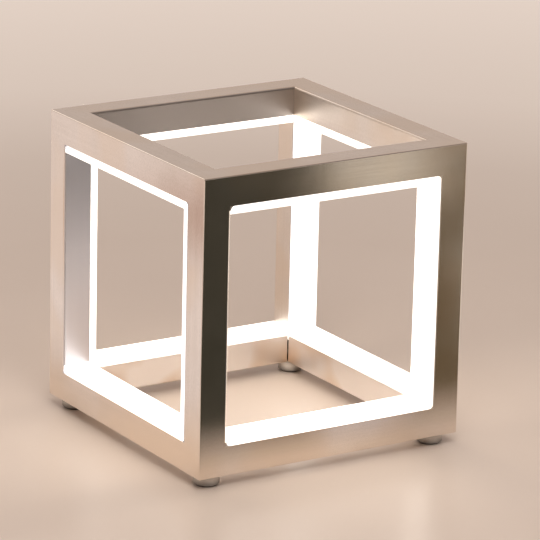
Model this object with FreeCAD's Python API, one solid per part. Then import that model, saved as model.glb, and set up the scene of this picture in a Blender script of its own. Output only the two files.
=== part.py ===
import FreeCAD, Part
import math
import os
from FreeCAD import Vector

# A free-standing light in the shape of an open cube. Twelve metal channels are welded into the
# cube's twelve edges. Each channel holds a strip of light-emitting diodes behind an opal diffuser
# that stands proud of the channel's mouth. Millimetres, +Z up, with the origin on the floor below
# the cube's middle. The design repeats by quarter turns about Z, so each piece is described once,
# at the front or at the front left corner, and turned into its four places.

# Metal cube
cube_side = 200.0
profile_width = 20.0
channel_wall = 1.5
outer_edge_radius = 0.8
window_edge_radius = 1.8
window_corner_radius = 2.8
window_corner_clearance = 0.1
mitre_slit = 0.9

# Opal diffusers
diffuser_proud = 5.5
diffuser_wall = 1.5
diffuser_edge_radius = 0.8
diffuser_side_inset = 0.2
leg_depth = 4.0
leg_thickness = 1.2
leg_clearance = 0.1
diffuser_end_gap = 0.1

# Light strips
board_width = 12.0
board_thickness = 1.0
chip_length = 3.5
chip_width = 2.8
chip_height = 0.8
chip_pitch = 16.0
chip_end_margin = 6.0

# Wires from strip to strip
wire_diameter = 1.2
wire_sides = 6
wire_spacing = 2.5
wire_offset = 2.0
wire_bend_radius = 4.0
wire_bend_chords = 3
wire_lap = 3.0

# Cord entry in the underside of the back channel, and the terminal beside it
grommet_to_foot = 5.75
grommet_bore = 5.2
grommet_flange = 11.0
grommet_flange_height = 1.2
grommet_neck = 7.6
grommet_hole_clearance = 0.1
grommet_chamfer = 0.4
grommet_to_board = 5.5
terminal_length = 8.0
terminal_width = 9.0
terminal_height = 7.0
terminal_hole = 2.0
terminal_hole_depth = 5.5
terminal_hole_spacing = 4.0

# Feet
foot_diameter = 17.5
foot_height = 8.0
foot_bottom_chamfer = 1.6
foot_inset = 13.0
adhesive_thickness = 0.5
adhesive_diameter = 15.0

# Places that follow from the sizes above
half_side = cube_side / 2
cube_bottom = foot_height
cube_top = cube_bottom + cube_side
window_half = half_side - profile_width
member_middle = half_side - profile_width / 2
window_bottom = cube_bottom + profile_width
window_top = cube_top - profile_width
cube_middle_height = (cube_bottom + cube_top) / 2
board_top = channel_wall + board_thickness
grommet_along = -half_side + foot_inset + foot_diameter / 2 + grommet_to_foot + grommet_flange / 2
cord_bay_end = grommet_along + grommet_flange / 2 + grommet_to_board

side_names = ("front", "left", "back", "right")
corner_names = ("front_left", "back_left", "back_right", "front_right")
back = side_names.index("back")
right = side_names.index("right")

# The kind of corner that a section drawn along a path of straight lines makes
mitred_corners = 1


def turned(shape, quarter):
    """The shape moved from the front to another side by quarter turns, clockwise from above."""
    copy = shape.copy()
    copy.rotate(Vector(0, 0, 0), Vector(0, 0, 1), -90 * quarter)
    return copy


def outline_face(points, arcs, place):
    """A face from section points (across, up). arcs holds, by point number, the radius there."""
    count = len(points)
    edges = []
    starts = []
    ends = []
    for number in range(count):
        corner = Vector(*points[number], 0)
        towards_last = Vector(*points[number - 1], 0).sub(corner).normalize()
        towards_next = Vector(*points[(number + 1) % count], 0).sub(corner).normalize()
        radius = arcs.get(number, 0)
        starts.append(corner + towards_last * radius)
        ends.append(corner + towards_next * radius)
        if radius:
            centre = corner + (towards_last + towards_next) * radius
            middle = centre + (corner - centre).normalize() * radius
            arc = Part.Arc(place(starts[-1]), place(middle), place(ends[-1]))
            edges.append(arc.toShape())
        following = Vector(*points[(number + 1) % count], 0)
        next_radius = arcs.get((number + 1) % count, 0)
        line_end = following - towards_next * next_radius
        edges.append(Part.LineSegment(place(ends[-1]), place(line_end)).toShape())
    return Part.Face(Part.Wire(edges))


# A section is drawn in two coordinates. Across runs from the cube's outside towards its window,
# and up runs from the channel's base towards its mouth. These three place it on a member.
def on_bottom(point):
    return Vector(0, -half_side + point.x, cube_bottom + point.y)


def on_top(point):
    return Vector(0, -half_side + point.x, cube_top - point.y)


def on_upright(point):
    return Vector(-half_side + point.x, -half_side + point.y, 0)


def channel_section(place):
    """Three walls, open at the mouth, with the base's edge on the window side rounded."""
    wall = channel_wall
    width = profile_width
    points = [
        (0, 0),
        (width, 0),
        (width, width),
        (width - wall, width),
        (width - wall, wall),
        (wall, wall),
        (wall, width),
        (0, width),
    ]
    return outline_face(points, {1: window_edge_radius}, place)


def diffuser_section(place):
    """A hollow cap whose shoulders rest on the channel's lips and whose legs reach inside."""
    mouth = profile_width
    outer = diffuser_side_inset
    leg_out = channel_wall + leg_clearance
    leg_in = leg_out + leg_thickness
    cap = mouth + diffuser_proud
    left = [
        (outer, cap),
        (outer, mouth),
        (leg_out, mouth),
        (leg_out, mouth - leg_depth),
        (leg_in, mouth - leg_depth),
        (leg_in, cap - diffuser_wall),
    ]
    right = [(profile_width - across, up) for across, up in reversed(left)]
    points = left + right
    last = len(points) - 1
    return outline_face(points, {0: diffuser_edge_radius, last: diffuser_edge_radius}, place)


def along_side(section, start, end):
    """A section placed on a side, drawn out along X from start to end."""
    moved = section.copy()
    moved.translate(Vector(start, 0, 0))
    return moved.extrude(Vector(end - start, 0, 0))


def up_corner(section, start, end):
    """A section placed on an upright, drawn out along Z from start to end."""
    moved = section.copy()
    moved.translate(Vector(0, 0, start))
    return moved.extrude(Vector(0, 0, end - start))


def prism(points, direction):
    """A solid block with a flat polygon as its base."""
    return Part.Face(Part.makePolygon(points + [points[0]])).extrude(direction)


def rounded_cube():
    """The whole cube's outside with its twelve edges rounded, which trims every channel."""
    box = Part.makeBox(cube_side, cube_side, cube_side, Vector(-half_side, -half_side, cube_bottom))
    return box.makeFillet(outer_edge_radius, box.Edges)


def mitre_wedge():
    """The quarter of the cube that belongs to the front side, seen from above."""
    base = [
        Vector(-half_side, -half_side, 0),
        Vector(half_side, -half_side, 0),
        Vector(0, 0, 0),
    ]
    return prism(base, Vector(0, 0, cube_top + foot_height))


def slit_cutter():
    """A thin upright plate on the mitre line that parts the inner walls of two bottom channels."""
    reach = 2 * channel_wall
    corner = Vector(-reach, -mitre_slit / 2, cube_bottom)
    plate = Part.makeBox(reach + mitre_slit, mitre_slit, profile_width, corner)
    plate.rotate(Vector(0, 0, 0), Vector(0, 0, 1), 45)
    plate.translate(Vector(-window_half, -window_half, 0))
    return plate


def horizontal_channel(place):
    """One channel of the top or bottom square, mitred at both ends."""
    bar = along_side(channel_section(place), -half_side, half_side)
    return bar.common(mitre_wedge()).common(rounded_cube())


def bottom_channel():
    """A bottom channel, whose inner wall stops short of each mitre."""
    slit = slit_cutter()
    other_slit = slit.mirror(Vector(0, 0, 0), Vector(1, 0, 0))
    return horizontal_channel(on_bottom).cut(slit).cut(other_slit)


def four_window_corners(shape):
    """A shape at the foot of the front left upright, in the front window, and its copies at the
    upright's head and in the left window."""
    low_pair = [shape, shape.mirror(Vector(0, 0, 0), Vector(1, -1, 0))]
    return low_pair + [to_top(low) for low in low_pair]


def window_corner_fillet():
    """The hollow curve of metal that fills the front window's corner beside the upright."""
    radius = window_corner_radius
    root = -window_half - window_edge_radius
    edge = -window_half + radius
    outside = -half_side
    top = window_bottom + radius
    centre = Vector(edge, outside, top)
    to_corner = Vector(-1, 0, -1).normalize() * radius
    low = Vector(edge, outside, window_bottom)
    high = Vector(-window_half, outside, top)
    root_low = Vector(root, outside, window_bottom)
    root_high = Vector(root, outside, top)
    outline = Part.Wire([
        Part.LineSegment(root_low, low).toShape(),
        Part.Arc(low, centre + to_corner, high).toShape(),
        Part.LineSegment(high, root_high).toShape(),
        Part.LineSegment(root_high, root_low).toShape(),
    ])
    return Part.Face(outline).extrude(Vector(0, channel_wall, 0))


def window_corner_rebate():
    """The room that a diffuser leaves for the curve of metal in the same corner."""
    reach = window_corner_radius + window_corner_clearance
    depth = channel_wall + window_corner_clearance
    corner = Vector(-window_half - reach, -half_side, window_bottom)
    return Part.makeBox(2 * reach, depth, reach, corner)


def upright_channel():
    """An upright, cut square, between the top and bottom squares, with its window corners."""
    bar = up_corner(channel_section(on_upright), window_bottom, window_top).common(rounded_cube())
    return bar.fuse(four_window_corners(window_corner_fillet())).removeSplitter()


def grommet_place():
    """The cord entry's middle on the front channel's base, before it is turned to the back."""
    return Vector(grommet_along, -member_middle, cube_bottom)


def drilled_for_grommet(channel):
    """The channel with the round hole that the grommet's neck sits in."""
    radius = grommet_neck / 2 + grommet_hole_clearance
    drill = Part.makeCylinder(radius, channel_wall, grommet_place(), Vector(0, 0, 1))
    return channel.cut(drill)


def horizontal_diffuser(place, height_sign):
    """A diffuser of the top or bottom square. Its left end meets an upright's bare side squarely,
    and its right end is mitred with the diffuser of the upright there."""
    bar = along_side(diffuser_section(place), -window_half + diffuser_end_gap, half_side)
    corner_height = window_bottom if height_sign > 0 else window_top
    reach = cube_side
    gap = diffuser_end_gap
    wedge = [
        Vector(window_half - gap, -half_side, corner_height),
        Vector(window_half - gap - reach, -half_side, corner_height + height_sign * reach),
        Vector(window_half - gap - reach, -half_side, corner_height - height_sign * reach),
        Vector(window_half - gap + reach, -half_side, corner_height - height_sign * reach),
    ]
    mitred = bar.common(prism(wedge, Vector(0, profile_width, 0)))
    near_rebates = four_window_corners(window_corner_rebate())
    far_rebates = [turned(rebate, right) for rebate in near_rebates]
    return mitred.cut(near_rebates + far_rebates)


def upright_diffuser():
    """The diffuser of the front left upright, mitred at both ends."""
    bar = up_corner(diffuser_section(on_upright), cube_bottom, cube_top)
    gap = diffuser_end_gap
    low = window_bottom + gap
    high = window_top - gap
    middle = (low + high) / 2
    half_height = (high - low) / 2
    outward = half_height + half_side
    across = -half_side
    wedge = [
        Vector(across, -window_half + half_height, middle),
        Vector(across, -window_half + half_height - outward, middle - outward),
        Vector(across, -window_half + half_height - outward, middle + outward),
    ]
    mitred = bar.common(prism(wedge, Vector(profile_width, 0, 0)))
    return mitred.cut(four_window_corners(window_corner_rebate()))


def strip_board(start, end):
    """A light strip's board on a bottom channel's base, along X."""
    corner = Vector(start, -member_middle - board_width / 2, cube_bottom + channel_wall)
    return Part.makeBox(end - start, board_width, board_thickness, corner)


def strip_chips(start, end):
    """The diodes in a row on a board, at an even pitch about the middle of the window."""
    span = 2 * (window_half - chip_end_margin)
    count = int(span / chip_pitch) + 1
    first = -(count - 1) * chip_pitch / 2
    chips = []
    for number in range(count):
        middle = first + number * chip_pitch
        if start <= middle - chip_length / 2 and middle + chip_length / 2 <= end:
            near = -member_middle - chip_width / 2
            corner = Vector(middle - chip_length / 2, near, cube_bottom + board_top)
            chips.append(Part.makeBox(chip_length, chip_width, chip_height, corner))
    return Part.makeCompound(chips)


def to_top(shape):
    """A piece of the bottom square moved to the same place in the top square, mouth down."""
    return shape.mirror(Vector(0, 0, cube_middle_height), Vector(0, 0, 1))


def to_upright(shape):
    """A piece of the front bottom strip stood up in the front left upright: the strip's length
    turns upright and its base lies on the upright's front wall."""
    copy = shape.copy()
    copy.translate(Vector(0, member_middle, -cube_bottom))
    copy.rotate(Vector(0, 0, 0), Vector(0, 1, 0), 90)
    copy.rotate(Vector(0, 0, 0), Vector(0, 0, 1), 90)
    copy.translate(Vector(-member_middle, -half_side, cube_middle_height))
    return copy


def wire(start, corner, end):
    """A thin wire: a level run on a bottom board, a quarter bend of even chords at the corner and
    a second straight run. Its section has an even number of sides, with a flat on the board."""
    first = (corner - start).normalize()
    second = (end - corner).normalize()
    radius = wire_bend_radius
    centre = corner - first * radius + second * radius
    bend = []
    for number in range(wire_bend_chords + 1):
        turn = math.pi / 2 * number / wire_bend_chords
        bend.append(centre + (first * math.sin(turn) - second * math.cos(turn)) * radius)
    path = Part.makePolygon([start] + bend + [end])
    upwards = Vector(0, 0, 1)
    sideways = first.cross(upwards)
    corner_radius = wire_diameter / 2 / math.cos(math.pi / wire_sides)
    ring = []
    for number in range(wire_sides):
        turn = 2 * math.pi * (number + 0.5) / wire_sides
        ring.append(start + (upwards * math.cos(turn) + sideways * math.sin(turn)) * corner_radius)
    section = Part.makePolygon(ring + [ring[0]])
    return path.makePipeShell([section], True, False, mitred_corners)


def corner_link():
    """The pair of wires round the front left corner, between the front and left bottom strips."""
    height = cube_bottom + board_top + wire_diameter / 2
    lap_end = -window_half + wire_lap
    wires = []
    for number in range(2):
        lane = -member_middle + wire_offset + number * wire_spacing
        start = Vector(lap_end, lane, height)
        corner = Vector(lane, lane, height)
        end = Vector(lane, lap_end, height)
        wires.append(wire(start, corner, end))
    return wires


def riser_link():
    """The pair of wires from the front bottom strip's right end up into the right upright."""
    height = cube_bottom + board_top + wire_diameter / 2
    depth = half_side - board_top - wire_diameter / 2
    wires = []
    for number in range(2):
        lane = -member_middle - wire_offset - number * wire_spacing
        start = Vector(window_half - wire_lap, lane, height)
        corner = Vector(depth, lane, height)
        end = Vector(depth, lane, window_bottom + wire_lap)
        wires.append(wire(start, corner, end))
    return wires


def grommet():
    """A rubber ring gripping the hole's edge, with a flange on each side of the wall."""
    below = -grommet_flange_height
    above = channel_wall + grommet_flange_height
    bore = grommet_bore / 2
    neck = grommet_neck / 2
    flange = grommet_flange / 2
    chamfer = grommet_chamfer
    points = [
        (bore, below),
        (flange - chamfer, below),
        (flange, below + chamfer),
        (flange, 0),
        (neck, 0),
        (neck, channel_wall),
        (flange, channel_wall),
        (flange, above - chamfer),
        (flange - chamfer, above),
        (bore, above),
    ]
    face = outline_face(points, {}, lambda point: Vector(point.x, 0, point.y))
    ring = face.revolve(Vector(0, 0, 0), Vector(0, 0, 1), 360)
    ring.translate(grommet_place())
    return ring


def terminal():
    """A two-pole terminal on the end of the back strip's board, its wire entries facing the bay."""
    base = cube_bottom + board_top
    corner = Vector(cord_bay_end, -member_middle - terminal_width / 2, base)
    body = Part.makeBox(terminal_length, terminal_width, terminal_height, corner)
    for side in (-1, 1):
        across = -member_middle + side * terminal_hole_spacing / 2
        entry = Vector(cord_bay_end, across, base + terminal_height / 2)
        hole = Part.makeCylinder(terminal_hole / 2, terminal_hole_depth, entry, Vector(1, 0, 0))
        body = body.cut(hole)
    return body


def foot():
    """A round rubber foot with a bevelled lower edge, under the front left corner."""
    top = foot_height - adhesive_thickness
    radius = foot_diameter / 2
    bevel = foot_bottom_chamfer
    points = [(0, 0), (radius - bevel, 0), (radius, bevel), (radius, top), (0, top)]
    face = outline_face(points, {}, lambda point: Vector(point.x, 0, point.y))
    body = face.revolve(Vector(0, 0, 0), Vector(0, 0, 1), 360)
    body.translate(Vector(-half_side + foot_inset, -half_side + foot_inset, 0))
    return body


def adhesive_disc():
    """The flat disc that holds the foot under the front left corner."""
    middle = Vector(-half_side + foot_inset, -half_side + foot_inset, foot_height - adhesive_thickness)
    return Part.makeCylinder(adhesive_diameter / 2, adhesive_thickness, middle)


def build_nodes():
    """Every node's shape, by name."""
    nodes = {}
    board_start = -window_half
    board_end = window_half
    plain_bottom = bottom_channel()
    shapes = {
        "top_channel": horizontal_channel(on_top),
        "top_diffuser": horizontal_diffuser(on_top, -1),
        "top_led_board": to_top(strip_board(board_start, board_end)),
        "top_led_chips": to_top(strip_chips(board_start, board_end)),
        "bottom_diffuser": horizontal_diffuser(on_bottom, 1),
    }
    corner_shapes = {
        "upright_channel": upright_channel(),
        "upright_diffuser": upright_diffuser(),
        "upright_led_board": to_upright(strip_board(board_start, board_end)),
        "upright_led_chips": to_upright(strip_chips(board_start, board_end)),
        "foot": foot(),
    }
    corner_wires = []
    riser_wires = []
    discs = []
    for quarter, (side, corner) in enumerate(zip(side_names, corner_names)):
        for name, shape in shapes.items():
            nodes[name + "_" + side] = turned(shape, quarter)
        for name, shape in corner_shapes.items():
            nodes[name + "_" + corner] = turned(shape, quarter)
        has_cord_entry = quarter == back
        channel = drilled_for_grommet(plain_bottom) if has_cord_entry else plain_bottom
        strip_start = cord_bay_end if has_cord_entry else board_start
        first_chip = cord_bay_end + terminal_length if has_cord_entry else board_start
        nodes["bottom_channel_" + side] = turned(channel, quarter)
        nodes["bottom_led_board_" + side] = turned(strip_board(strip_start, board_end), quarter)
        nodes["bottom_led_chips_" + side] = turned(strip_chips(first_chip, board_end), quarter)
        discs.append(turned(adhesive_disc(), quarter))
        for riser in riser_link():
            riser_wires.append(turned(riser, quarter))
            riser_wires.append(turned(to_top(riser), quarter))
        if not has_cord_entry:
            corner_wires.extend(turned(link, quarter) for link in corner_link())
    nodes["bottom_link_wires"] = Part.makeCompound(corner_wires)
    nodes["riser_link_wires"] = Part.makeCompound(riser_wires)
    nodes["foot_adhesive_discs"] = Part.makeCompound(discs)
    nodes["cord_grommet"] = turned(grommet(), back)
    nodes["supply_terminal"] = turned(terminal(), back)
    return nodes


os.makedirs("parts", exist_ok=True)
for node_name, node_shape in sorted(build_nodes().items()):
    solids = node_shape.Solids
    sound = all(solid.isValid() and solid.Volume > 0 for solid in solids)
    volume = round(node_shape.Volume, 1)
    print(node_name, len(solids), "solids", volume, "mm3", "sound" if sound else "UNSOUND")
    node_shape.exportStep(os.path.join("parts", node_name + ".step"))
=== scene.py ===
import math

import bpy
from mathutils import Matrix, Vector


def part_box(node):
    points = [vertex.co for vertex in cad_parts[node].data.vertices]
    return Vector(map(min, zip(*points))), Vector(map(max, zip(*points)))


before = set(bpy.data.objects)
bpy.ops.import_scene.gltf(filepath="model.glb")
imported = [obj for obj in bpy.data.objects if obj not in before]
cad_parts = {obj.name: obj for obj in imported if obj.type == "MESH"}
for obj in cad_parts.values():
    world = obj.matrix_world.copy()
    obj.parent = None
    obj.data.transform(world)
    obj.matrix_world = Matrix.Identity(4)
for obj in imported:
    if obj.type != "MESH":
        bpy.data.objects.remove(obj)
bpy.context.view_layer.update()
scene = bpy.context.scene

# ---------------------------------------------------------------- shader helpers


def new_material(name):
    """A node material with one surface shader, its node tree and that shader."""
    material = bpy.data.materials.new(name)
    material.use_nodes = True
    tree = material.node_tree
    tree.nodes.clear()
    output = tree.nodes.new("ShaderNodeOutputMaterial")
    shader = tree.nodes.new("ShaderNodeBsdfPrincipled")
    tree.links.new(shader.outputs["BSDF"], output.inputs["Surface"])
    return material, tree, shader


EVENLY = (1.0, 1.0, 1.0)


def object_coordinates(tree, scale=EVENLY):
    """The place on the object in metres, stretched by the three scales."""
    place = tree.nodes.new("ShaderNodeTexCoord")
    mapping = tree.nodes.new("ShaderNodeMapping")
    mapping.inputs["Scale"].default_value = scale
    tree.links.new(place.outputs["Object"], mapping.inputs["Vector"])
    return mapping.outputs["Vector"]


def noise(tree, vector, scale, detail=3.0):
    """A noise value between 0 and 1 at the given places."""
    node = tree.nodes.new("ShaderNodeTexNoise")
    node.inputs["Scale"].default_value = scale
    node.inputs["Detail"].default_value = detail
    tree.links.new(vector, node.inputs["Vector"])
    return node.outputs["Fac"]


def value_range(tree, value, low, high, out_low=0.0, out_high=1.0):
    """The value carried from one range to another, and held at its ends."""
    node = tree.nodes.new("ShaderNodeMapRange")
    node.inputs["From Min"].default_value = low
    node.inputs["From Max"].default_value = high
    node.inputs["To Min"].default_value = out_low
    node.inputs["To Max"].default_value = out_high
    tree.links.new(value, node.inputs["Value"])
    return node.outputs["Result"]


def math_node(tree, operation, first, second=0.0):
    """One or two values combined. Each is a socket or a number."""
    node = tree.nodes.new("ShaderNodeMath")
    node.operation = operation
    for socket, value in zip(node.inputs, (first, second)):
        if isinstance(value, (int, float)):
            socket.default_value = value
        else:
            tree.links.new(value, socket)
    return node.outputs["Value"]


def separate(tree, vector):
    """The X, Y and Z of a place."""
    node = tree.nodes.new("ShaderNodeSeparateXYZ")
    tree.links.new(vector, node.inputs[0])
    return node.outputs["X"], node.outputs["Y"], node.outputs["Z"]


def vector_length(tree, vector):
    """How far a place lies from the origin."""
    node = tree.nodes.new("ShaderNodeVectorMath")
    node.operation = "LENGTH"
    tree.links.new(vector, node.inputs[0])
    return node.outputs["Value"]


def colour_mix(tree, factor, first, second):
    """A blend of two colours. Each is a socket or three numbers."""
    node = tree.nodes.new("ShaderNodeMix")
    node.data_type = "RGBA"
    tree.links.new(factor, node.inputs["Factor"])
    for name, value in (("A", first), ("B", second)):
        socket = [s for s in node.inputs if s.name == name and s.type == "RGBA"][0]
        if isinstance(value, tuple):
            socket.default_value = (*value, 1.0)
        else:
            tree.links.new(value, socket)
    return [s for s in node.outputs if s.type == "RGBA"][0]


def bump(tree, height, strength, distance, shader, normal=None):
    """Small relief added to a shader's normal."""
    node = tree.nodes.new("ShaderNodeBump")
    node.inputs["Strength"].default_value = strength
    node.inputs["Distance"].default_value = distance
    tree.links.new(height, node.inputs["Height"])
    if normal is not None:
        tree.links.new(normal, node.inputs["Normal"])
    tree.links.new(node.outputs["Normal"], shader.inputs["Normal"])
    return node.outputs["Normal"]


# ---------------------------------------------------------------- materials

# Noise runs mostly from NOISE_LOW to NOISE_HIGH. A relief is a strength and a depth in metres.
NOISE_LOW, NOISE_HIGH = 0.3, 0.7

X_AXIS, Y_AXIS, Z_AXIS = 0, 1, 2
CUBE_MIDDLE = (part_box("bottom_channel_front")[0].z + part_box("top_channel_front")[1].z) / 2
METAL_PALE = (0.90, 0.835, 0.775)
METAL_DEEP = (0.78, 0.71, 0.645)
METAL_GOLDEN = (0.84, 0.72, 0.60)
GOLDEN_SHARE = 0.6
GRAIN_ACROSS = 2600.0
GRAIN_ALONG = 22.0
STREAK_STRETCH = 0.13
CLOUD_SCALE = 34.0
RIPPLE_SCALE = 130.0
SPECKLE_SCALE = 700.0
PATCH_SCALE = 15.0
STREAK_SHARE, CLOUD_SHARE, SPECKLE_SHARE = 0.25, 0.45, 0.30
TONE_RANGE = (0.34, 0.66)
PATCH_RANGE = (0.42, 0.56)
GRAIN_RANGE = (0.25, 0.75)
GRAIN_ROUGHNESS = (0.12, 0.15)
CLOUD_ROUGHNESS = (-0.015, 0.015)
RIPPLE_RELIEF = (0.30, 0.00003)
GRAIN_RELIEF = (0.03, 0.00001)
# The faces that look into the windows have a coarser finish and painted light and shade. The front
# and back channels get painted shade at the top; at the bottom the faces get pale and warm patches
# of painted light from the strips; two of the uprights get a painted cool reflection that deepens
# to painted shade towards the top. The channels get painted shade inside. A range of places goes
# from where the finish is not yet changed to where it is fully so.
METAL_INNER_PAINTED_SHADE = (0.46, 0.42, 0.40)
METAL_LOWER_PAINTED_LIGHT = (0.97, 0.94, 0.92)
METAL_WARM_PAINTED_LIGHT = (0.84, 0.70, 0.57)
METAL_COOL_PAINTED_REFLECTION = (0.70, 0.69, 0.735)
METAL_COOL_TOP_PAINTED_SHADE = (0.47, 0.46, 0.49)
METAL_INSIDE_PAINTED_SHADE = (0.085, 0.050, 0.035)
INNER_ROUGHER = 0.27
INNER_EDGE = (0.0812, 0.0802)
UPPER_HEIGHT = (0.10, 0.12)
COOL_TO_SHADE_HEIGHT = (0.115, 0.180)
INSIDE_NEAR = (0.0803, 0.0807)
INSIDE_FAR = (0.0993, 0.0990)


def brushed_metal(name, axis):
    """Satin nickel grained along one cube axis; inner faces carry painted light and shade."""
    material, tree, shader = new_material(name)
    shader.inputs["Metallic"].default_value = 1.0
    scale = [GRAIN_ACROSS] * 3
    scale[axis] = GRAIN_ALONG
    fine = noise(tree, object_coordinates(tree, scale), 1.0, detail=2.0)
    broad = [value * STREAK_STRETCH for value in scale]
    streaks = noise(tree, object_coordinates(tree, broad), 1.0)
    place = object_coordinates(tree)
    clouds = noise(tree, place, CLOUD_SCALE, detail=4.0)
    ripples = noise(tree, place, RIPPLE_SCALE, detail=2.0)
    speckle = noise(tree, place, SPECKLE_SCALE, detail=2.0)
    patches = noise(tree, place, PATCH_SCALE, detail=2.0)

    tone = math_node(tree, "MULTIPLY", streaks, STREAK_SHARE)
    for part, share in ((clouds, CLOUD_SHARE), (speckle, SPECKLE_SHARE)):
        tone = math_node(tree, "ADD", tone, math_node(tree, "MULTIPLY", part, share))
    colour = colour_mix(tree, value_range(tree, tone, *TONE_RANGE), METAL_DEEP, METAL_PALE)
    golden = value_range(tree, patches, *reversed(PATCH_RANGE), 0.0, GOLDEN_SHARE)
    colour = colour_mix(tree, golden, colour, METAL_GOLDEN)

    east, north, height = separate(tree, place)
    far_east = math_node(tree, "ABSOLUTE", east)
    far_north = math_node(tree, "ABSOLUTE", north)
    reach = math_node(tree, "MINIMUM" if axis == Z_AXIS else "MAXIMUM", far_east, far_north)
    inner = value_range(tree, reach, *INNER_EDGE)
    if axis == Z_AXIS:
        # Painted cool reflection on two uprights' window faces, deepening to painted shade towards
        # the top.
        high = value_range(tree, height, *COOL_TO_SHADE_HEIGHT)
        cool = colour_mix(tree, high, METAL_COOL_PAINTED_REFLECTION, METAL_COOL_TOP_PAINTED_SHADE)
        colour = colour_mix(tree, value_range(tree, far_north, *INNER_EDGE), colour, cool)
    else:
        # Pale and warm patches of painted light from the strips low down; painted shade high on
        # the front and back channels.
        painted_lower_light = colour_mix(tree, value_range(tree, patches, *PATCH_RANGE), METAL_WARM_PAINTED_LIGHT, METAL_LOWER_PAINTED_LIGHT)
        upper = METAL_INNER_PAINTED_SHADE if axis == X_AXIS else colour
        facing = colour_mix(tree, value_range(tree, height, *UPPER_HEIGHT), painted_lower_light, upper)
        colour = colour_mix(tree, inner, colour, facing)
        # Painted shade inside the channels, so that the open slits read dark.
        from_middle = math_node(tree, "SUBTRACT", height, CUBE_MIDDLE)
        inside = value_range(tree, math_node(tree, "ABSOLUTE", from_middle), *INSIDE_FAR)
        for edge in (INSIDE_NEAR, INSIDE_FAR):
            inside = math_node(tree, "MULTIPLY", inside, value_range(tree, reach, *edge))
        colour = colour_mix(tree, inside, colour, METAL_INSIDE_PAINTED_SHADE)
    tree.links.new(colour, shader.inputs["Base Color"])

    rough = math_node(tree, "ADD", value_range(tree, fine, *GRAIN_RANGE, *GRAIN_ROUGHNESS),
                      value_range(tree, clouds, NOISE_LOW, NOISE_HIGH, *CLOUD_ROUGHNESS))
    rough = math_node(tree, "ADD", rough, math_node(tree, "MULTIPLY", inner, INNER_ROUGHER))
    tree.links.new(rough, shader.inputs["Roughness"])
    relief = bump(tree, ripples, *RIPPLE_RELIEF, shader)
    bump(tree, fine, *GRAIN_RELIEF, shader, relief)
    return material


OPAL_TONES = ((0.95, 0.92, 0.87), (0.98, 0.96, 0.93))
OPAL_GLOWS = ((1.0, 0.97, 0.92), (1.0, 0.98, 0.94))
OPAL_STRENGTH = (1.10, 1.16)
OPAL_ROUGHNESS = (0.34, 0.44)
OPAL_SPECKLE_SCALE = 900.0
OPAL_CLOUD_SCALE = 60.0
OPAL_RELIEF = (0.12, 0.00003)


def opal(name):
    """Opal plastic lit from behind, faintly clouded."""
    material, tree, shader = new_material(name)
    place = object_coordinates(tree)
    speckle = noise(tree, place, OPAL_SPECKLE_SCALE, detail=2.0)
    cloud = noise(tree, place, OPAL_CLOUD_SCALE, detail=2.0)
    strength = value_range(tree, cloud, NOISE_LOW, NOISE_HIGH, *OPAL_STRENGTH)
    rough = value_range(tree, speckle, NOISE_LOW, NOISE_HIGH, *OPAL_ROUGHNESS)
    tree.links.new(colour_mix(tree, cloud, *OPAL_TONES), shader.inputs["Base Color"])
    tree.links.new(colour_mix(tree, cloud, *OPAL_GLOWS), shader.inputs["Emission Color"])
    tree.links.new(strength, shader.inputs["Emission Strength"])
    tree.links.new(rough, shader.inputs["Roughness"])
    bump(tree, speckle, *OPAL_RELIEF, shader)
    return material


# A skin's cloud scale, spread of roughness, and strength and depth of relief.
RUBBER_SKIN = (170.0, 0.06, 0.2, 0.00005)
PLASTIC_SKIN = (90.0, 0.05, 0.15, 0.00003)


def clouded(name, tones, roughness, skin, skin_scale, finish=None):
    """A moulded or coated surface, clouded, with a fine skin. Finish adds to them and may paint
    shade.
    """
    material, tree, shader = new_material(name)
    cloud_scale, spread, strength, depth = skin
    place = object_coordinates(tree)
    grain = noise(tree, place, skin_scale)
    colour = colour_mix(tree, noise(tree, place, cloud_scale), *tones)
    if finish is not None:
        colour = finish(tree, shader, colour)
    tree.links.new(colour, shader.inputs["Base Color"])
    rough = value_range(tree, grain, NOISE_LOW, NOISE_HIGH, roughness - spread, roughness + spread)
    tree.links.new(rough, shader.inputs["Roughness"])
    bump(tree, grain, strength, depth, shader)
    return material


CLEARNESS = 0.7
CLEAR_DEPTH = 0.006
# Painted shade on the feet near the floor: a dark colour over a range of heights.
FOOT_SHADE_HEIGHT = (0.0005, 0.0050)
FOOT_PAINTED_SHADE = (0.10, 0.085, 0.075)


def clear_rubber_painted_shade(tree, shader, colour):
    """Lets light spread in the rubber and paints shade on its colour near the floor."""
    shader.inputs["Subsurface Weight"].default_value = CLEARNESS
    shader.inputs["Subsurface Radius"].default_value = EVENLY
    shader.inputs["Subsurface Scale"].default_value = CLEAR_DEPTH
    height = separate(tree, object_coordinates(tree))[2]
    return colour_mix(tree, value_range(tree, height, *FOOT_SHADE_HEIGHT), FOOT_PAINTED_SHADE, colour)


PHOSPHOR_TONES = ((0.90, 0.72, 0.25), (0.98, 0.86, 0.45))
PHOSPHOR_STRENGTH = (1.6, 2.2)
PHOSPHOR_ROUGHNESS = (0.25, 0.4)
PHOSPHOR_GRAIN_SCALE = 1800.0
PHOSPHOR_RELIEF = (0.1, 0.00002)


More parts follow.
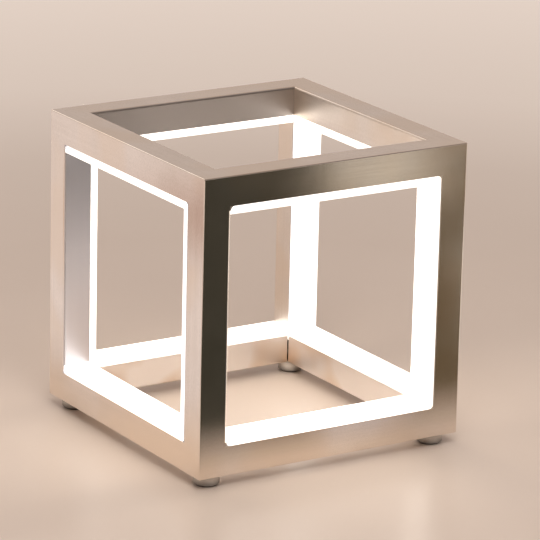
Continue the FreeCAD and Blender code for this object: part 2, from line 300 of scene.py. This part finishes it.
def phosphor(name):
    """A diode's yellow window, lit."""
    material, tree, shader = new_material(name)
    grain = noise(tree, object_coordinates(tree), PHOSPHOR_GRAIN_SCALE, detail=2.0)
    colour = colour_mix(tree, grain, *PHOSPHOR_TONES)
    strength = value_range(tree, grain, NOISE_LOW, NOISE_HIGH, *PHOSPHOR_STRENGTH)
    rough = value_range(tree, grain, NOISE_LOW, NOISE_HIGH, *PHOSPHOR_ROUGHNESS)
    tree.links.new(colour, shader.inputs["Base Color"])
    tree.links.new(colour, shader.inputs["Emission Color"])
    tree.links.new(strength, shader.inputs["Emission Strength"])
    tree.links.new(rough, shader.inputs["Roughness"])
    bump(tree, grain, *PHOSPHOR_RELIEF, shader)
    return material


metals = [brushed_metal("satin_nickel_" + letter, axis) for axis, letter in enumerate("xyz")]
BOARD_TONES = ((0.84, 0.84, 0.80), (0.92, 0.92, 0.89))
WIRE_TONES = ((0.80, 0.80, 0.77), (0.90, 0.90, 0.88))
FOOT_TONES = ((0.69, 0.65, 0.60), (0.80, 0.76, 0.70))
GROMMET_TONES = ((0.025, 0.025, 0.025), (0.05, 0.05, 0.05))
TERMINAL_TONES = ((0.82, 0.82, 0.80), (0.91, 0.91, 0.89))
TAPE_TONES = ((0.74, 0.74, 0.71), (0.86, 0.86, 0.83))
# A node other than a channel takes the material of the word in its name.
plain = {
    "diffuser": opal("lit_opal"),
    "led_board": clouded("white_board", BOARD_TONES, 0.4, PLASTIC_SKIN, 1500.0),
    "led_chips": phosphor("diode_window"),
    "wires": clouded("white_insulation", WIRE_TONES, 0.45, PLASTIC_SKIN, 2000.0),
    "foot": clouded("grey_rubber", FOOT_TONES, 0.42, RUBBER_SKIN, 2600.0, clear_rubber_painted_shade),
    "grommet": clouded("black_rubber", GROMMET_TONES, 0.6, RUBBER_SKIN, 2600.0),
    "terminal": clouded("white_terminal", TERMINAL_TONES, 0.4, PLASTIC_SKIN, 1200.0),
    "adhesive": clouded("foam_tape", TAPE_TONES, 0.7, PLASTIC_SKIN, 2600.0),
}

for node_name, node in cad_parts.items():
    if "channel" in node_name:
        if node_name.startswith("upright"):
            material = metals[Z_AXIS]
        elif node_name.endswith(("front", "back")):
            material = metals[X_AXIS]
        else:
            material = metals[Y_AXIS]
    else:
        material = [made for word, made in plain.items() if word in node_name][0]
    node.data.materials.clear()
    node.data.materials.append(material)

# ---------------------------------------------------------------- floor

# The floor pales over one range of distances from the cube. Over the other it gets a glow that
# lights nothing, for a pale background.
FLOOR_SIDE = 12.0
FLOOR_TONES = ((0.70, 0.605, 0.535), (0.74, 0.645, 0.575))
FLOOR_CLOUD_SCALE = 3.0
FLOOR_GRAIN_SCALE = 420.0
FLOOR_ROUGHNESS = (0.28, 0.34)
FLOOR_RELIEF = (0.04, 0.0002)
FLOOR_FAR = (0.95, 0.875, 0.81)
FLOOR_PALES = (0.45, 0.95)
FLOOR_GLOWS = (0.70, 1.40)
FLOOR_GLOW = 0.22


def level_sheet(name, left, right, front, rear, height):
    """A flat, level rectangle."""
    mesh = bpy.data.meshes.new(name)
    corners = [(left, front), (right, front), (right, rear), (left, rear)]
    mesh.from_pydata([(*corner, height) for corner in corners], [], [(0, 1, 2, 3)])
    sheet = bpy.data.objects.new(name, mesh)
    scene.collection.objects.link(sheet)
    return sheet


def pale_floor():
    """A wide, smooth floor with a faint sheen, paler far from the cube."""
    half = FLOOR_SIDE / 2
    floor = level_sheet("floor", -half, half, -half, half, 0.0)
    material, tree, shader = new_material("pale_stone")
    place = object_coordinates(tree)
    cloud = noise(tree, place, FLOOR_CLOUD_SCALE, detail=4.0)
    grain = noise(tree, place, FLOOR_GRAIN_SCALE)
    clouding = value_range(tree, cloud, NOISE_LOW, NOISE_HIGH)
    distance = vector_length(tree, place)
    far = value_range(tree, distance, *FLOOR_PALES)
    colour = colour_mix(tree, far, colour_mix(tree, clouding, *FLOOR_TONES), FLOOR_FAR)
    tree.links.new(colour, shader.inputs["Base Color"])
    rough = value_range(tree, grain, NOISE_LOW, NOISE_HIGH, *FLOOR_ROUGHNESS)
    tree.links.new(rough, shader.inputs["Roughness"])
    rays = tree.nodes.new("ShaderNodeLightPath").outputs
    seen = math_node(tree, "MAXIMUM", rays["Is Camera Ray"], rays["Is Glossy Ray"])
    seen = math_node(tree, "MAXIMUM", seen, rays["Is Transmission Ray"])
    glow = value_range(tree, distance, *FLOOR_GLOWS, 0.0, FLOOR_GLOW)
    shader.inputs["Emission Color"].default_value = (*FLOOR_FAR, 1.0)
    tree.links.new(math_node(tree, "MULTIPLY", seen, glow), shader.inputs["Emission Strength"])
    bump(tree, grain, *FLOOR_RELIEF, shader)
    floor.data.materials.append(material)
    return floor


pale_floor()

# A dark cloth and a pale card on the floor that show in the metal only. An edge is two places,
# from where the thing is clear to where it is full. Slant is the place across the cloth measured
# along the lines that one upright mirrors. The tan oval is full within the first share of its
# reach and gone at the last.
CLOTH_HEIGHT = 0.001
CLOTH_SIDES = ((-0.45, -0.35), (0.70, 0.58), (-0.128, -0.21), (-2.00, -1.30))
CLOTH_SLANT = 0.6375
CLOTH_DARK = (0.050, 0.045, 0.033)
CLOTH_BROWN = (0.140, 0.100, 0.058)
BROWN_EDGE = (-0.06, 0.00)
CLOTH_BRIGHT = (0.76, 0.68, 0.575)
BRIGHT_SIDES = ((-0.072, -0.048), (0.075, 0.020), (-0.605, -0.640), (-0.90, -0.76))
CLOTH_COOL = (0.50, 0.46, 0.49)
COOL_DEEP = (0.28, 0.25, 0.26)
COOL_SIDES = ((-0.085, -0.060), (0.010, -0.015), (-0.10, -0.14), (-0.52, -0.46))
COOL_DEEPENS = (-0.20, -0.40)
CLOTH_GLINT = (1.30, 1.20, 1.08)
GLINT_SIDES = ((0.070, 0.095), (0.90, 0.80), (0.00, -0.04), (-0.50, -0.42))
CARD_SIDES = ((-0.80, -0.60), (-0.12, -0.18), (-0.02, 0.08), (1.50, 1.10))
CARD_PALE = (0.84, 0.72, 0.665)
CARD_TAN = (0.55, 0.37, 0.30)
TAN_MIDDLE = (-0.47, 0.42, 0.0)
TAN_REACH = (0.15, 0.20, 1.0)
TAN_FADE = (0.2, 1.0)


def within(tree, across, along, sides):
    """1 inside four soft edges: left, right, near and far."""
    left, right, near, far = sides
    inside = value_range(tree, across, *left)
    for value, edge in ((across, right), (along, near), (along, far)):
        inside = math_node(tree, "MULTIPLY", inside, value_range(tree, value, *edge))
    return inside


def fading_card(name, sides, paint):
    """A level card seen by reflections only, and only from above. Paint gives its colour."""
    left, right, near, far = (side[0] for side in sides)
    card = level_sheet(name, left, right, min(near, far), max(near, far), CLOTH_HEIGHT)
    material = bpy.data.materials.new(name)
    material.use_nodes = True
    tree = material.node_tree
    tree.nodes.clear()
    output = tree.nodes.new("ShaderNodeOutputMaterial")
    clear = tree.nodes.new("ShaderNodeBsdfTransparent")
    shade = tree.nodes.new("ShaderNodeEmission")
    blend = tree.nodes.new("ShaderNodeMixShader")
    place = object_coordinates(tree)
    across, along, _ = separate(tree, place)
    underside = tree.nodes.new("ShaderNodeNewGeometry").outputs["Backfacing"]
    from_above = math_node(tree, "SUBTRACT", 1.0, underside)
    inside = within(tree, across, along, sides)
    tree.links.new(paint(tree, place), shade.inputs["Color"])
    tree.links.new(math_node(tree, "MULTIPLY", inside, from_above), blend.inputs[0])
    tree.links.new(clear.outputs[0], blend.inputs[1])
    tree.links.new(shade.outputs[0], blend.inputs[2])
    tree.links.new(blend.outputs[0], output.inputs["Surface"])
    card.data.materials.append(material)
    card.visible_camera = False
    card.visible_diffuse = False
    card.visible_shadow = False
    card.visible_transmission = False
    card.visible_volume_scatter = False
    return card


def cloth_colour(tree, place):
    """Dark, browner to the right, with bright and cool panels."""
    across, along, _ = separate(tree, place)
    slant = math_node(tree, "ADD", across, math_node(tree, "MULTIPLY", along, CLOTH_SLANT))
    colour = colour_mix(tree, value_range(tree, slant, *BROWN_EDGE), CLOTH_DARK, CLOTH_BROWN)
    deepening = value_range(tree, along, *COOL_DEEPENS)
    cool = colour_mix(tree, deepening, CLOTH_COOL, COOL_DEEP)
    panels = ((BRIGHT_SIDES, CLOTH_BRIGHT), (COOL_SIDES, cool), (GLINT_SIDES, CLOTH_GLINT))
    for sides, panel in panels:
        colour = colour_mix(tree, within(tree, slant, along, sides), colour, panel)
    return colour


def card_colour(tree, place):
    """Pale, with one soft tan oval."""
    oval = tree.nodes.new("ShaderNodeMapping")
    oval.vector_type = "TEXTURE"
    oval.inputs["Location"].default_value = TAN_MIDDLE
    oval.inputs["Scale"].default_value = TAN_REACH
    tree.links.new(place, oval.inputs["Vector"])
    outside = value_range(tree, vector_length(tree, oval.outputs["Vector"]), *TAN_FADE)
    return colour_mix(tree, outside, CARD_TAN, CARD_PALE)


fading_card("dark_cloth", CLOTH_SIDES, cloth_colour)
fading_card("pale_card", CARD_SIDES, card_colour)

# ---------------------------------------------------------------- light


LAMP_TARGET = (0.0, 0.0, 0.1)
KEY_PLACE = (-0.7, -1.4, 2.0)
KEY_SIZE = (1.4, 1.4)
KEY_POWER = 31.0
KEY_COLOUR = (1.0, 0.95, 0.90)
BACK_PLACE = (-0.5, 1.9, 1.4)
BACK_SIZE = (0.9, 0.7)
BACK_POWER = 2.0
BACK_COLOUR = (1.0, 0.93, 0.86)
STRIP_SIZE = (0.150, 0.015)
STRIP_PLACE = 0.09
STRIP_CLEARANCE = 0.0015
STRIP_POWER = 0.034
STRIP_COLOUR = (1.0, 0.86, 0.70)


def area_lamp(name, size, power, colour):
    """A rectangle of light."""
    data = bpy.data.lights.new(name, "AREA")
    data.shape = "RECTANGLE"
    data.size, data.size_y = size
    data.energy = power
    data.color = colour
    lamp = bpy.data.objects.new(name, data)
    scene.collection.objects.link(lamp)
    return lamp


def soft_lamp(name, place, size, power, colour):
    """A large rectangle of light facing the cube."""
    lamp = area_lamp(name, size, power, colour)
    lamp.location = place
    lamp.rotation_mode = "QUATERNION"
    lamp.rotation_quaternion = (Vector(LAMP_TARGET) - Vector(place)).to_track_quat("-Z", "Y")
    return lamp


def strip_lamps():
    """The light that the opal strips cast on the floor and the feet: one thin lamp under each top
    strip and one before each upright strip."""
    top_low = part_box("top_diffuser_front")[0].z - STRIP_CLEARANCE
    upright_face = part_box("upright_diffuser_front_left")[1].y + STRIP_CLEARANCE
    upright_low, upright_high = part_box("upright_channel_front_left")
    middle = (upright_low.z + upright_high.z) / 2
    downward = (Vector((0, -STRIP_PLACE, top_low)), Vector((0, 0, -1)), Vector((1, 0, 0)))
    inward = (Vector((-STRIP_PLACE, upright_face, middle)), Vector((0, 1, 0)), Vector((0, 0, 1)))
    for quarter in range(4):
        turn = Matrix.Rotation(-math.pi / 2 * quarter, 4, "Z")
        for kind, (place, facing, along) in (("top", downward), ("upright", inward)):
            name = "%s_strip_lamp_%d" % (kind, quarter)
            lamp = area_lamp(name, STRIP_SIZE, STRIP_POWER, STRIP_COLOUR)
            across = (-facing).cross(along)
            axes = Matrix((along, across, -facing)).transposed().to_4x4()
            lamp.matrix_world = turn @ Matrix.Translation(place) @ axes
            lamp.visible_glossy = False


key_lamp = soft_lamp("key_lamp", KEY_PLACE, KEY_SIZE, KEY_POWER, KEY_COLOUR)
key_lamp.visible_glossy = False
soft_lamp("back_lamp", BACK_PLACE, BACK_SIZE, BACK_POWER, BACK_COLOUR)
strip_lamps()

WORLD_COLOUR = (1.0, 0.835, 0.74)
WORLD_FRONT = 0.20
WORLD_BACK = 0.57
WORLD_TURNS = (-0.80, 0.30)


def studio_world():
    """Even soft light, dimmer from the side that the front window faces."""
    world = bpy.data.worlds.new("studio")
    world.use_nodes = True
    tree = world.node_tree
    background = tree.nodes["Background"]
    north = separate(tree, tree.nodes.new("ShaderNodeTexCoord").outputs["Generated"])[1]
    strength = value_range(tree, north, *WORLD_TURNS, WORLD_FRONT, WORLD_BACK)
    tree.links.new(strength, background.inputs["Strength"])
    background.inputs["Color"].default_value = (*WORLD_COLOUR, 1.0)
    scene.world = world


studio_world()

# ---------------------------------------------------------------- camera

CAMERA_PLACE = (-1.23765, -1.97745, 0.80743)
CAMERA_AZIMUTH = 0.563952255
CAMERA_ELEVATION = 0.290999189
CAMERA_ROLL = 0.0239973
CAMERA_LENS = 243.08
SENSOR_WIDTH = 36.0
CAMERA_SEES = (0.05, 50.0)


def photograph_camera():
    """The camera at the photograph's viewing angle."""
    data = bpy.data.cameras.new("camera")
    data.sensor_fit = "HORIZONTAL"
    data.sensor_width = SENSOR_WIDTH
    data.lens = CAMERA_LENS
    data.clip_start, data.clip_end = CAMERA_SEES
    camera = bpy.data.objects.new("camera", data)
    azimuth, elevation, roll = CAMERA_AZIMUTH, CAMERA_ELEVATION, CAMERA_ROLL
    forward = Vector((math.sin(azimuth) * math.cos(elevation),
                      math.cos(azimuth) * math.cos(elevation),
                      -math.sin(elevation)))
    level = Vector((math.cos(azimuth), -math.sin(azimuth), 0.0))
    upward = level.cross(forward)
    right = level * math.cos(roll) + upward * math.sin(roll)
    up = upward * math.cos(roll) - level * math.sin(roll)
    turn = Matrix((right, up, -forward)).transposed()
    camera.rotation_mode = "QUATERNION"
    camera.rotation_quaternion = turn.to_quaternion()
    camera.location = CAMERA_PLACE
    scene.collection.objects.link(camera)
    scene.camera = camera


photograph_camera()
scene.view_settings.view_transform = "Standard"
